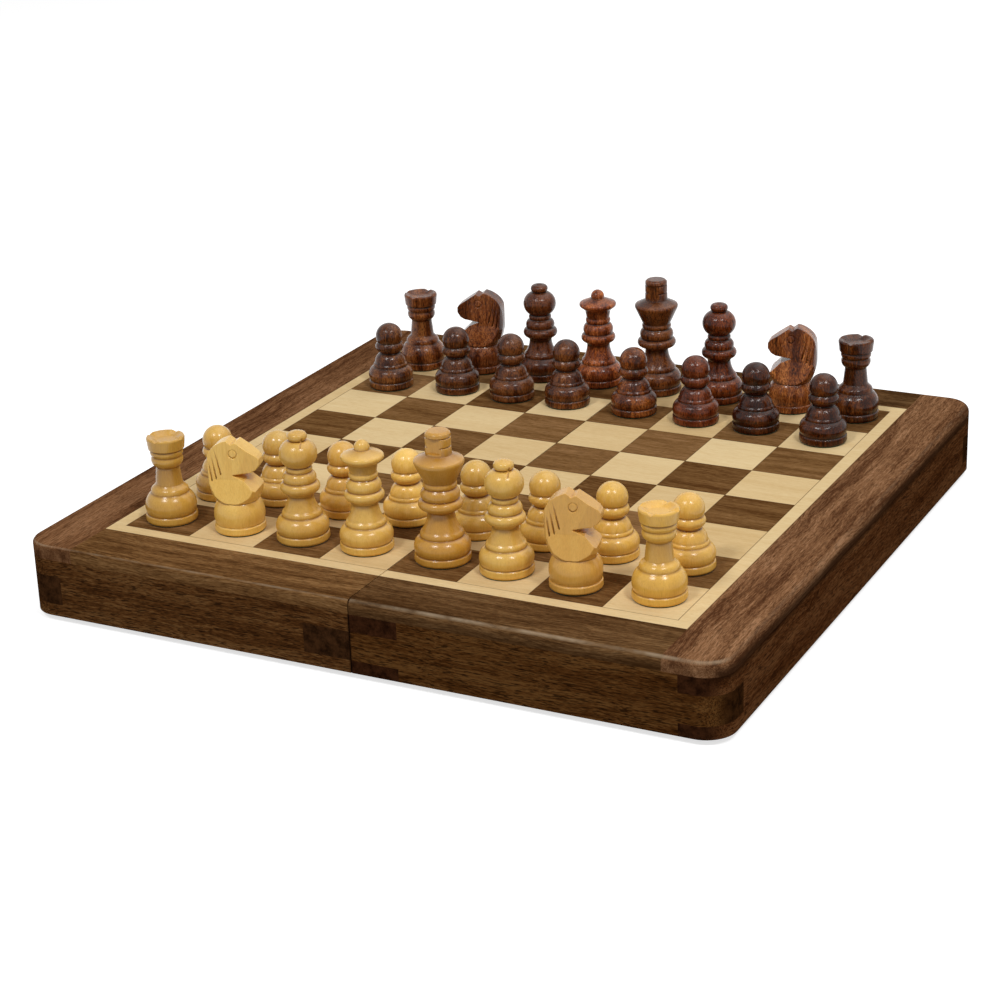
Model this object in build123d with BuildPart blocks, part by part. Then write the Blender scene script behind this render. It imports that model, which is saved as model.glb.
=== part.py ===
from build123d import *

import os
from math import cos, radians, sin

# A folding chess box. Two shallow trays stand side by side, open side down, so that their
# backs make one playing board. Two brass hinges join them under the middle seam, and the
# trays fold down and together into a box that keeps the men in felt-lined pockets.
#
# Millimetres. X runs along the ranks across the seam, Y along the files, Z up. The origin
# lies under the middle of the open board, at the lowest point of the hinge barrels.

os.makedirs("parts", exist_ok=True)

# ---------------------------------------------------------------- board
board_side = 254.0  # whole width and depth of the open board
border_w = 20.3  # dark border round the board
stringing_w = 5.1  # pale line between the border and the squares
ranks = 8  # squares along each side of the board
glue_line = 0.06  # joint left between neighbouring pieces of veneer
seam_gap = 0.3  # between the two open halves

# ---------------------------------------------------------------- layers, from the top down
veneer_t = 1.6  # squares and stringing
steel_t = 0.4  # sheet that holds the magnetic men
core_t = 3.0  # plywood panel
rebate_w = 12.8  # how far the panel reaches under the border strips
lining_t = 1.0  # felt on the tray's floor

# ---------------------------------------------------------------- tray
half_h = 25.4  # height of one half, from rim to playing surface
rail_t = 15.0  # thickness of the side and end rails
hinge_rail_t = 17.0  # thickness of the rails beside the seam
corner_r = 10.0  # upright outer corners
left_roundover_r = 1.6  # upper outer edge of the left half
right_roundover_r = 2.8  # upper outer edge of the right half
round_limit = 0.95  # largest rounding, as a share of the thickness it may take up
top_finger_h = 6.0  # fingers of the corner joints, and the lowest takes what is left
middle_finger_h = 10.0

# ---------------------------------------------------------------- pockets
pocket_rows = 2  # rows of pockets in each tray
divider_t = 3.0
divider_h = 12.0
divider_round_r = 1.3  # soft edge of the felt over each divider
divider_gap = 0.05  # glue at each end of a cross divider

# ---------------------------------------------------------------- closing magnets
catch_r = 3.0
catch_h = 3.0
catch_y = 60.0  # distance of each magnet from the middle of the side rail
catch_fit = 0.05

# ---------------------------------------------------------------- hinges
hinge_len = 24.0
hinge_y = 72.0  # distance of each hinge from the middle of the seam
barrel_r = 1.75
pin_r = 0.8
pin_fit = 0.05  # running clearance round the pin
leaf_w = 9.0  # reach of a leaf from the hinge axis
leaf_t = 1.0
knuckles = 3
knuckle_gap = 0.2
barrel_clear = 0.35  # groove in the rails round the barrel
leaf_fit = 0.1  # mortise round the leaf's edges
rim_gap = 0.3  # between the rims of the closed box
screws_per_leaf = 2
screw_spacing = 15.0
screw_x = 5.8  # distance of the screws from the hinge axis
screw_r = 0.9
screw_head_r = 1.7
screw_len = 8.0
screw_fit = 0.04
slot_w = 0.4
slot_d = 0.3

# ---------------------------------------------------------------- men
felt_t = 0.4  # felt under each man
felt_inset = 0.4
magnet_r = 3.5
magnet_h = 2.5
magnet_fit = 0.05
foot_edge_h = 0.5  # eased lower edge of each foot
foot_band_h = 2.7  # height of the straight band round each foot
foot_groove_h = 0.3  # step from the band into the groove above it
nick_w = 3.0  # nicks across the rook's mouth
nick_d = 0.8
kerf_len = 3.6  # saw cut in the bishop's head
kerf_w = 0.5
kerf_depth = 1.4
kerf_angle = 43.0  # how far the cut lies from the top of the head
kerf_slant = -24.0
bishop_turn = -42.0  # the bishops and knights are turned on their squares
knight_turn = 14.0
mane_w = 0.5
mane_d = 0.5
eye_r = 1.6  # ring cut round each of the horse's eyes
eye_w = 0.4
eye_d = 0.3

# Foot radius and height of each kind of man
king_r = 9.4
king_h = 44.6
queen_r = 9.0
queen_h = 37.9
bishop_r = 9.0
bishop_h = 38.2
knight_r = 8.7
knight_h = 32.3
rook_r = 8.9
rook_h = 30.2
pawn_r = 8.75
pawn_h = 25.5

# The men were set out by hand. These stand off the middle of their square, by shares of a
# square along X and Y.
aside = {
    "white_rook_a": (-0.06, -0.05),
    "white_bishop_c": (-0.04, 0.02),
    "white_queen": (-0.10, 0.06),
    "white_king": (0.00, 0.09),
    "white_bishop_f": (-0.07, 0.06),
    "white_knight_g": (-0.06, -0.04),
    "white_rook_h": (0.03, 0.04),
    "white_pawn_a": (0.07, -0.03),
    "white_pawn_b": (-0.05, 0.10),
    "white_pawn_c": (0.00, 0.05),
    "white_pawn_d": (-0.06, 0.12),
    "white_pawn_e": (0.00, 0.07),
    "white_pawn_f": (0.00, 0.06),
    "white_pawn_g": (-0.04, 0.03),
    "white_pawn_h": (0.00, 0.04),
    "black_rook_a": (0.00, -0.05),
    "black_knight_b": (-0.04, 0.12),
    "black_bishop_c": (0.00, 0.11),
    "black_queen": (-0.04, 0.16),
    "black_king": (-0.07, 0.16),
    "black_bishop_f": (-0.05, 0.14),
    "black_knight_g": (0.10, 0.14),
    "black_rook_h": (0.09, 0.12),
    "black_pawn_a": (0.00, -0.10),
    "black_pawn_b": (0.06, 0.09),
    "black_pawn_c": (0.00, 0.08),
    "black_pawn_d": (-0.09, 0.12),
    "black_pawn_e": (0.00, 0.13),
    "black_pawn_f": (0.00, 0.10),
    "black_pawn_g": (-0.07, 0.12),
}

# ---------------------------------------------------------------- worked out from the above
seam_x = seam_gap / 2
half = board_side / 2
panel = half - border_w
field = panel - stringing_w
square = 2 * field / ranks
top_t = veneer_t + steel_t + core_t
axis_z = barrel_r
rim_z = axis_z + rim_gap / 2
board_z = rim_z + half_h
frame_h = half_h - top_t
frame_z = rim_z + frame_h
sheet_z = frame_z + core_t
veneer_z = sheet_z + steel_t
bottom_finger_h = frame_h - middle_finger_h - top_finger_h
inner_side = half - rail_t
inner_seam = seam_x + hinge_rail_t
lining_z = frame_z - lining_t

# How a primitive sits on its place: on its foot, hung from it, or grown away from the seam
upwards = (Align.CENTER, Align.CENTER, Align.MIN)
downwards = (Align.CENTER, Align.CENTER, Align.MAX)
outwards = (Align.MIN, Align.CENTER, Align.MIN)


def save(shape, name):
    """Labels one node and writes its STEP file."""
    shape.label = name
    export_step(shape, f"parts/{name}.step")


def put(shape, side, name):
    """Saves a piece modelled for the right half, or its mirror image for the left half."""
    save(shape if side == "right" else mirror(shape, about=Plane.YZ), f"{side}_{name}")


def notches(owned):
    """Bottom and height of each finger that a rail gives up, from the names that it keeps."""
    heights = {"bottom": bottom_finger_h, "middle": middle_finger_h, "top": top_finger_h}
    given_up = []
    bottom = rim_z
    for name, height in heights.items():
        if name not in owned:
            given_up.append((bottom, height))
        bottom += height
    return given_up


# ================================================================ tray


def side_rail(owned):
    """Outer rail, finger-jointed to the end rails, with two magnets' pockets in its rim."""
    with BuildPart() as rail:
        with BuildSketch(Plane.XY.offset(rim_z)) as outline:
            with Locations((half - rail_t / 2, 0)):
                Rectangle(rail_t, 2 * half)
            fillet(outline.vertices().group_by(Axis.X)[-1], min(corner_r, rail_t))
        extrude(amount=frame_h)
        for y in (-1, 1):
            for z, height in notches(owned):
                with Locations((half - rail_t / 2, y * (half - rail_t / 2), z)):
                    Box(rail_t, rail_t, height, align=upwards, mode=Mode.SUBTRACT)
        with Locations((half - rail_t / 2, catch_y, rim_z), (half - rail_t / 2, -catch_y, rim_z)):
            Cylinder(
                catch_r + catch_fit,
                catch_h,
                align=upwards,
                mode=Mode.SUBTRACT,
            )
    return rail.part


def end_rails(owned):
    """Front and back rails."""
    with BuildPart() as rails:
        with BuildSketch(Plane.XY.offset(rim_z)) as outline:
            with Locations(((seam_x + half) / 2, half - rail_t / 2)):
                Rectangle(half - seam_x, rail_t)
            fillet(outline.vertices().group_by(Axis.Y)[-1].sort_by(Axis.X)[-1], min(corner_r, rail_t))
        extrude(amount=frame_h)
        for x, width in ((seam_x + hinge_rail_t / 2, hinge_rail_t), (half - rail_t / 2, rail_t)):
            for z, height in notches(owned):
                with Locations((x, half - rail_t / 2, z)):
                    Box(width, rail_t, height, align=upwards, mode=Mode.SUBTRACT)
        mirror(about=Plane.XZ)
    return rails.part


def hinge_rail(owned):
    """Inner rail, let in for the hinge leaves and grooved for their barrels."""
    with BuildPart() as rail:
        with Locations((seam_x + hinge_rail_t / 2, 0, rim_z)):
            Box(hinge_rail_t, 2 * half, frame_h, align=upwards)
        for y in (-1, 1):
            for z, height in notches(owned):
                with Locations((seam_x + hinge_rail_t / 2, y * (half - rail_t / 2), z)):
                    Box(hinge_rail_t, rail_t, height, align=upwards, mode=Mode.SUBTRACT)
        for y in (-hinge_y, hinge_y):
            with Locations((0, y, axis_z)):
                Cylinder(
                    barrel_r + barrel_clear,
                    hinge_len + 2 * barrel_clear,
                    rotation=(90, 0, 0),
                    mode=Mode.SUBTRACT,
                )
            with Locations((0, y, rim_z)):
                Box(
                    leaf_w + leaf_fit,
                    hinge_len + 2 * leaf_fit,
                    leaf_t,
                    align=outwards,
                    mode=Mode.SUBTRACT,
                )
        with Locations(*screw_places(rim_z)):
            Cylinder(
                screw_r + screw_fit,
                screw_len,
                align=upwards,
                mode=Mode.SUBTRACT,
            )
    return rail.part


def border_strips(roundover_r):
    """Side strip over the whole depth, with the front and back strips butted to it."""
    with BuildPart() as strips:
        with BuildSketch(Plane.XY.offset(frame_z)) as outline:
            with Locations(((seam_x + half) / 2, 0)):
                Rectangle(half - seam_x, 2 * half)
            fillet(outline.vertices().group_by(Axis.X)[-1], min(corner_r, rail_t))
        extrude(amount=top_t)
        outer_edge = strips.edges().group_by(Axis.Z)[-1].sort_by(Axis.X)[1:]
        fillet(outer_edge, min(roundover_r, round_limit * top_t))
        with Locations((0, 0, frame_z)):
            Box(
                panel,
                2 * panel,
                top_t,
                align=outwards,
                mode=Mode.SUBTRACT,
            )
            Box(
                panel + rebate_w,
                2 * (panel + rebate_w),
                core_t,
                align=outwards,
                mode=Mode.SUBTRACT,
            )
        split(bisect_by=Plane.YZ.offset(panel), keep=Keep.BOTH)
    return strips.part


def slab(reach_x, reach_y, bottom, thick, start=seam_x):
    """Flat rectangular layer from the seam outwards."""
    with BuildPart() as layer:
        with Locations((start, 0, bottom)):
            Box(
                reach_x - start,
                2 * reach_y,
                thick,
                align=outwards,
            )
    return layer.part


def squares(colour):
    """The half's squares of one colour, 0 for the colour of the corner at the left player's hand."""
    with BuildPart() as tiles:
        for i in range(ranks // 2):
            left = max(i * square, seam_x) + glue_line / 2
            right = (i + 1) * square - glue_line / 2
            for j in range(ranks):
                if (i + j + ranks // 2) % 2 == colour:
                    with Locations(((left + right) / 2, (j + 0.5 - ranks / 2) * square, veneer_z)):
                        Box(
                            right - left,
                            square - glue_line,
                            veneer_t,
                            align=upwards,
                        )
    return tiles.part


def stringing():
    """Pale strips: front and back run to the corner, and the side strip butts between them."""
    with BuildPart() as strips:
        end_x = (seam_x + panel - glue_line / 2) / 2
        for y in (-1, 1):
            with Locations((end_x, y * (field + stringing_w / 2), veneer_z)):
                Box(
                    panel - glue_line / 2 - seam_x,
                    stringing_w - glue_line,
                    veneer_t,
                    align=upwards,
                )
        with Locations((field + stringing_w / 2, 0, veneer_z)):
            Box(
                stringing_w - glue_line,
                2 * field - glue_line,
                veneer_t,
                align=upwards,
            )
    return strips.part


def pocket_dividers():
    """One long divider between the rows, and cross dividers between the pockets."""
    width = inner_side - inner_seam
    length = 2 * inner_side
    pocket_x = (width - (pocket_rows - 1) * divider_t) / pocket_rows
    pocket_y = (length - (ranks - 1) * divider_t) / ranks
    with BuildPart() as dividers:
        for row in range(1, pocket_rows):
            with Locations((inner_seam + row * pocket_x + (row - 0.5) * divider_t, 0, lining_z)):
                Box(divider_t, length, divider_h, align=downwards)
        for row in range(pocket_rows):
            x = inner_seam + row * (pocket_x + divider_t) + pocket_x / 2
            for k in range(1, ranks):
                y = -length / 2 + k * (pocket_y + divider_t) - divider_t / 2
                with Locations((x, y, lining_z)):
                    Box(
                        pocket_x - 2 * divider_gap,
                        divider_t,
                        divider_h,
                        align=downwards,
                    )
        free_edges = dividers.edges().group_by(Axis.Z)[0]
        fillet(
            free_edges.filter_by(Axis.Y).filter_by(lambda e: e.length > pocket_x)
            + free_edges.filter_by(Axis.X).filter_by(lambda e: e.length > divider_t),
            min(divider_round_r, round_limit * divider_t / 2),
        )
    return dividers.part


def catch_magnets():
    """Two magnets flush with the rim, which hold the box shut."""
    with BuildPart() as magnets:
        with Locations((half - rail_t / 2, catch_y, rim_z), (half - rail_t / 2, -catch_y, rim_z)):
            Cylinder(catch_r, catch_h, align=upwards)
    return magnets.part


# ================================================================ hinges


def screw_places(z):
    """Places of all the screws of one half, at one height."""
    step = screw_spacing / max(screws_per_leaf - 1, 1)
    return [
        (screw_x, y - screw_spacing / 2 + k * step, z)
        for y in (-hinge_y, hinge_y)
        for k in range(screws_per_leaf)
    ]


def knuckle_places(side):
    """Middles of the knuckles along the barrel: the right leaf has every second one."""
    pitch = (hinge_len + knuckle_gap) / knuckles
    first = 1 if side == "right" else 0
    return [(k - (knuckles - 1) / 2) * pitch for k in range(first, knuckles, 2)]


def hinge_leaves(side):
    """The two leaves of one half, drawn on the right-hand side of the axis."""
    knuckle_len = (hinge_len + knuckle_gap) / knuckles - knuckle_gap
    plate_x = barrel_r + barrel_clear
    with BuildPart() as leaves:
        for y in (-hinge_y, hinge_y):
            with BuildSketch(Plane.XY.offset(rim_z)):
                with Locations((plate_x, y)):
                    Rectangle(leaf_w - plate_x, hinge_len, align=(Align.MIN, Align.CENTER))
                for place in knuckle_places(side):
                    with Locations((0, y + place)):
                        Rectangle(plate_x, knuckle_len, align=(Align.MIN, Align.CENTER))
            extrude(amount=leaf_t)
            for place in knuckle_places(side):
                with Locations((0, y + place, axis_z)):
                    Cylinder(barrel_r, knuckle_len, rotation=(90, 0, 0))
            with Locations((0, y, axis_z)):
                Cylinder(
                    pin_r + pin_fit,
                    hinge_len,
                    rotation=(90, 0, 0),
                    mode=Mode.SUBTRACT,
                )
        for place in screw_places(rim_z):
            with Locations(Plane(origin=place, z_dir=(0, 0, -1))):
                CounterSinkHole(screw_r + screw_fit, screw_head_r + screw_fit, leaf_t)
    return leaves.part


def hinge_screws():
    """Slotted countersunk wood screws, flush with the leaves."""
    with BuildPart() as screws:
        for x, y, z in screw_places(rim_z):
            with BuildSketch(Plane(origin=(x, y, z), x_dir=(1, 0, 0), z_dir=(0, -1, 0))):
                with BuildLine():
                    Polyline(
                        (0, 0),
                        (screw_head_r, 0),
                        (screw_r, screw_head_r - screw_r),
                        (screw_r, screw_len - 2 * screw_r),
                        (0, screw_len),
                        close=True,
                    )
                make_face()
            revolve(axis=Axis((x, y, z), (0, 0, 1)))
            with Locations((x, y, z)):
                Box(
                    2 * screw_head_r,
                    slot_w,
                    slot_d,
                    align=upwards,
                    mode=Mode.SUBTRACT,
                )
    return screws.part


def hinge_pins():
    """One pin through the knuckles of each hinge."""
    with BuildPart() as pins:
        with Locations((0, -hinge_y, axis_z), (0, hinge_y, axis_z)):
            Cylinder(pin_r, hinge_len, rotation=(90, 0, 0))
    return pins.part


# ================================================================ men

# Each outline goes up from the groove above the foot. A row is the radius as a share of the
# foot's radius, the height as a share of the man's height, and the bow of the arc that leads
# there, as a share of the foot's radius: outwards if positive, inwards if negative, 0 for a line.

king_outline = {
    "bulb": (0.75, 0.198, 0.145),
    "shoulder": (0.68, 0.244, 0.04),
    "neck": (0.466, 0.385, -0.05),
    "flare": (0.60, 0.408, 0.0),
    "lower_ring": (0.63, 0.483, 0.17),
    "upper_ring": (0.55, 0.570, 0.09),
    "small_ring": (0.56, 0.615, 0.04),
    "crown": (0.87, 0.755, 0.0),
    "crown_rim": (0.88, 0.772, 0.0),
    "crown_edge": (0.85, 0.785, 0.0),
    "crown_top": (0.46, 0.823, 0.0),
    "finial": (0.45, 0.880, 0.0),
    "lower_groove": (0.40, 0.886, 0.0),
    "lower_groove_top": (0.45, 0.892, 0.0),
    "stub": (0.45, 0.949, 0.0),
    "upper_groove": (0.40, 0.955, 0.0),
    "upper_groove_top": (0.45, 0.961, 0.0),
    "cap": (0.44, 0.985, 0.0),
    "cap_edge": (0.36, 1.000, 0.0),
}
finial_flat = 0.35  # distance of the finial's sawn flats from the axis
flat_bottom = 0.842
flat_top = 0.955

queen_outline = {
    "bulb": (0.73, 0.232, 0.15),
    "shoulder": (0.66, 0.282, 0.04),
    "neck": (0.49, 0.430, -0.04),
    "flare": (0.57, 0.456, 0.0),
    "lower_ring": (0.60, 0.546, 0.155),
    "upper_ring": (0.48, 0.656, 0.10),
    "small_ring": (0.49, 0.710, 0.05),
    "waist": (0.55, 0.789, 0.0),
    "coronet": (0.77, 0.832, 0.0),
    "coronet_rim": (0.71, 0.875, 0.05),
    "coronet_top": (0.28, 0.915, 0.0),
}

bishop_outline = {
    "bulb": (0.73, 0.233, 0.15),
    "shoulder": (0.66, 0.283, 0.04),
    "neck": (0.48, 0.415, -0.04),
    "flare": (0.56, 0.443, 0.0),
    "lower_ring": (0.59, 0.540, 0.165),
    "upper_ring": (0.46, 0.632, 0.09),
    "small_ring": (0.44, 0.682, 0.04),
    "head": (0.30, 0.917, 0.335),
    "finial": (0.18, 0.990, 0.13),
    "finial_top": (0.08, 1.000, 0.0),
}

rook_outline = {
    "bulb": (0.72, 0.340, 0.145),
    "shoulder": (0.62, 0.410, 0.04),
    "neck_foot": (0.52, 0.440, 0.0),
    "neck": (0.445, 0.645, 0.0),
    "flare": (0.55, 0.675, 0.0),
    "lower_ring": (0.57, 0.772, 0.05),
    "upper_ring": (0.60, 0.848, 0.045),
    "cup_base": (0.69, 0.858, 0.0),
    "cup": (0.735, 0.980, 0.0),
    "cup_edge": (0.70, 1.000, 0.0),
    "cup_mouth": (0.58, 1.000, 0.0),
    "cup_floor": (0.35, 0.960, 0.0),
}

pawn_outline = {
    "bulb": (0.75, 0.333, 0.145),
    "shoulder": (0.70, 0.385, 0.03),
    "neck": (0.44, 0.540, 0.06),
    "flare": (0.57, 0.588, 0.0),
    "ring": (0.53, 0.706, 0.08),
}

knight_foot_outline = {
    "bulb": (0.80, 0.345, 0.12),
    "bulb_top": (0.72, 0.352, 0.0),
}

# Radius of the foot's lower edge, of its band and of the groove above, as shares
foot_under = 0.97
foot_band = 0.985
foot_groove = 0.93


def turn(outline, r, h, ball=False):
    """Turns one man about Z from its outline, standing on its felt, with a blind hole for its
    magnet. A ball, if there is one, sits on the last row and tops the man."""
    with BuildPart() as man:
        with BuildSketch(Plane.XZ):
            with BuildLine():
                foot = Polyline(
                    (0, felt_t),
                    (foot_under * r, felt_t),
                    (r, felt_t + foot_edge_h),
                    (foot_band * r, foot_band_h),
                    (foot_groove * r, foot_band_h + foot_groove_h),
                )
                x, z = (foot @ 1).X, (foot @ 1).Y
                for share_r, share_h, bow in outline.values():
                    if bow:
                        SagittaArc((x, z), (share_r * r, share_h * h), -bow * r)
                    else:
                        Line((x, z), (share_r * r, share_h * h))
                    x, z = share_r * r, share_h * h
                if ball:
                    ball_z = (h**2 - z**2 - x**2) / (2 * (h - z))
                    ThreePointArc((x, z), (h - ball_z, ball_z), (0, h))
                    z = h
                else:
                    Line((x, z), (0, z))
                Line((0, z), (0, felt_t))
            make_face()
        revolve(axis=Axis.Z)
        with Locations((0, 0, felt_t)):
            Cylinder(
                magnet_r + magnet_fit,
                magnet_h,
                align=upwards,
                mode=Mode.SUBTRACT,
            )
    return man.part


def king():
    """Crowned man whose finial is sawn flat, front and back."""
    with BuildPart() as man:
        add(turn(king_outline, king_r, king_h))
        with BuildSketch(Plane.XY.offset(flat_bottom * king_h)):
            Rectangle(2 * king_r, 2 * king_r)
            Rectangle(2 * king_r, 2 * finial_flat * king_r, mode=Mode.SUBTRACT)
        extrude(amount=(flat_top - flat_bottom) * king_h, mode=Mode.SUBTRACT)
    return man.part


def queen():
    return turn(queen_outline, queen_r, queen_h, ball=True)


def bishop():
    """Ball-headed man with a slanting saw cut in the head."""
    top_r, top_share, bow = bishop_outline["head"]
    bottom_share = bishop_outline["small_ring"][1]
    head_z = (top_share + bottom_share) / 2 * bishop_h
    head_r = (bow + (top_r + bishop_outline["small_ring"][0]) / 2) * bishop_r
    with BuildPart() as man:
        add(turn(bishop_outline, bishop_r, bishop_h))
        cut_x = head_r * sin(radians(kerf_angle))
        cut_z = head_z + head_r * cos(radians(kerf_angle))
        on_head = Location((cut_x, 0, cut_z), (0, kerf_angle, 0))
        with Locations(on_head * Rotation(0, 0, kerf_slant)):
            Box(kerf_len, kerf_w, 2 * kerf_depth, mode=Mode.SUBTRACT)
    return man.part


def rook():
    """Tower with two V-shaped nicks across its hollow mouth."""
    with BuildPart() as man:
        add(turn(rook_outline, rook_r, rook_h))
        for plane in (Plane.XZ, Plane.YZ):
            with BuildSketch(plane):
                with BuildLine():
                    Polyline(
                        (0, rook_h - nick_d),
                        (nick_w / 2, rook_h),
                        (-nick_w / 2, rook_h),
                        close=True,
                    )
                make_face()
            extrude(amount=rook_r, both=True, mode=Mode.SUBTRACT)
    return man.part


def pawn():
    return turn(pawn_outline, pawn_r, pawn_h, ball=True)


# The horse's head, seen from its right side, with the nose towards +X. The points are shares
# of the foot's radius and of the man's height.
nape = ((-0.80, 0.352), (-1.04, 0.50), (-1.08, 0.72), (-0.98, 0.86), (-0.70, 0.945), (-0.24, 1.00))
forelock = ((-0.04, 0.96), (0.12, 0.985))
face = ((0.91, 0.842), (1.01, 0.805), (1.01, 0.743), (0.87, 0.69), (0.67, 0.663))
throat = ((-0.07, 0.644), (0.45, 0.588))
chest = ((0.89, 0.475), (0.82, 0.352))
eye = (0.02, 0.867)
mane = (
    ((-0.74, 0.92), (-0.44, 0.61)),
    ((-0.86, 0.86), (-0.64, 0.58)),
    ((-0.96, 0.78), (-0.82, 0.56)),
)
# Half the thickness of the head going up, and the outline of the blank it is sawn from
cheek = ((0.84, 0.352), (0.70, 0.46), (0.53, 0.60), (0.43, 0.80), (0.36, 1.01))
blank = ((0.85, 0.352), (1.00, 0.42), (1.10, 0.55), (1.10, 1.01))
# The muzzle's taper in plan, as shares of the foot's radius: how far forward, half its thickness
muzzle = ((0.15, 0.50), (1.10, 0.27))


def knight():
    """Horse's head sawn from a turned blank, with tapered cheeks, cut mane and ringed eyes."""
    r, h = knight_r, knight_h

    def at(share):
        return (share[0] * r, share[1] * h)

    with BuildPart() as man:
        with BuildSketch(Plane.XZ):
            with BuildLine():
                back = Spline(*[at(p) for p in nape])
                sawn = Polyline(back @ 1, *[at(p) for p in (*forelock, *face, *throat, *chest)])
                Line(sawn @ 1, back @ 0)
            make_face()
        extrude(amount=r, both=True)
        with BuildSketch(Plane.YZ):
            Polygon(
                *[at(p) for p in cheek],
                *[at((-x, z)) for x, z in reversed(cheek)],
                align=None,
            )
        extrude(amount=2 * r, both=True, mode=Mode.INTERSECT)
        with BuildSketch(Plane.XZ):
            Polygon(
                at((0, blank[0][1])),
                *[at(p) for p in blank],
                at((0, blank[-1][1])),
                align=None,
            )
        revolve(axis=Axis.Z, mode=Mode.INTERSECT)
        with BuildSketch(Plane.XY.offset(throat[0][1] * h)):
            (x0, y0), (x1, y1) = muzzle
            Polygon(
                (x0 * r, y0 * r),
                (x1 * r, y1 * r),
                (x1 * r, 2 * r),
                (x0 * r, 2 * r),
                align=None,
            )
            mirror(about=Plane.XZ)
        extrude(amount=h, mode=Mode.SUBTRACT)
        for side in (-1, 1):
            for start, end in mane:
                (x0, z0), (x1, z1) = at(start), at(end)
                length = Vector(x1 - x0, z1 - z0).length
                lean = Vector(x1 - x0, z0 - z1).get_angle(Vector(0, 1))
                middle = ((x0 + x1) / 2, side * cheek_at((z0 + z1) / 2), (z0 + z1) / 2)
                with Locations(Location(middle, (0, -lean, 0))):
                    Box(mane_w, 2 * mane_d, length, mode=Mode.SUBTRACT)
            eye_x, eye_z = at(eye)
            with BuildSketch(Plane((eye_x, side * cheek_at(eye_z), eye_z), z_dir=(0, side, 0))):
                Circle(eye_r)
                Circle(eye_r - eye_w, mode=Mode.SUBTRACT)
            extrude(amount=eye_d, both=True, mode=Mode.SUBTRACT)
        add(turn(knight_foot_outline, r, h))
    return man.part


def cheek_at(z):
    """Half the thickness of the horse's head at one height."""
    for (low_t, low_z), (high_t, high_z) in zip(cheek, cheek[1:]):
        if z <= high_z * knight_h:
            break
    way_up = (z / knight_h - low_z) / (high_z - low_z)
    return knight_r * (low_t + (high_t - low_t) * way_up)


def man_set(body, r):
    """A man with its magnet and its felt, as three separate solids standing on Z = 0."""
    with BuildPart() as magnet:
        with Locations((0, 0, felt_t)):
            Cylinder(magnet_r, magnet_h, align=upwards)
    with BuildPart() as felt:
        Cylinder(r - felt_inset, felt_t, align=upwards)
    return Compound([body, magnet.part, felt.part])


# ================================================================ output

# The end rails hold the middle fingers on the right half, and the outer fingers on the left.
middle_fingers = ("middle",)
outer_fingers = ("bottom", "top")

for side in ("left", "right"):
    long_rails = middle_fingers if side == "left" else outer_fingers
    cross_rails = outer_fingers if side == "left" else middle_fingers
    colours = (1, 0) if side == "left" else (0, 1)
    put(side_rail(long_rails), side, "side_rail")
    put(end_rails(cross_rails), side, "end_rails")
    put(hinge_rail(long_rails), side, "hinge_rail")
    put(border_strips(left_roundover_r if side == "left" else right_roundover_r), side, "border_strips")
    put(slab(panel + rebate_w, panel + rebate_w, frame_z, core_t), side, "panel_core")
    put(slab(panel, panel, sheet_z, steel_t), side, "steel_sheet")
    put(squares(colours[0]), side, "dark_squares")
    put(squares(colours[1]), side, "light_squares")
    put(stringing(), side, "stringing")
    put(slab(inner_side, inner_side, lining_z, lining_t, inner_seam), side, "felt_lining")
    put(pocket_dividers(), side, "pocket_dividers")
    put(catch_magnets(), side, "catch_magnets")
    put(hinge_leaves(side), side, "hinge_leaves")

put(hinge_screws(), "right", "hinge_screws")
put(Compound([hinge_screws(), hinge_pins()]), "left", "hinge_pins_and_screws")

men = {
    "king": man_set(king(), king_r),
    "queen": man_set(queen(), queen_r),
    "bishop": man_set(bishop(), bishop_r),
    "knight": man_set(knight(), knight_r),
    "rook": man_set(rook(), rook_r),
    "pawn": man_set(pawn(), pawn_r),
}
back_row = ("rook", "knight", "bishop", "queen", "king", "bishop", "knight", "rook")
file_names = "abcdefgh"
turned_men = {"knight": knight_turn, "bishop": bishop_turn}


def stand(kind, name, column, rank, facing):
    """Stands one man on its square and saves it."""
    aside_x, aside_y = aside.get(name, (0, 0))
    x = (column + 0.5 - ranks / 2 + aside_x) * square
    y = (rank + 0.5 - ranks / 2 + aside_y) * square
    place = Location((x, y, board_z), (0, 0, facing + turned_men.get(kind, 0)))
    save(place * men[kind], name)


for colour, back_rank, pawn_rank, facing in (("white", 0, 1, 0.0), ("black", 7, 6, 180.0)):
    for column, kind in enumerate(back_row):
        only_one = back_row.count(kind) == 1
        name = f"{colour}_{kind}" if only_one else f"{colour}_{kind}_{file_names[column]}"
        stand(kind, name, column, back_rank, facing)
        stand("pawn", f"{colour}_pawn_{file_names[column]}", column, pawn_rank, facing)
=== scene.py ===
"""Looks of a folding walnut chess box, laid open as a board with its magnetic men."""

from math import asin, atan, cos, hypot, pi, radians, sin

import bmesh
import bpy
from mathutils import Matrix, Vector


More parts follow.
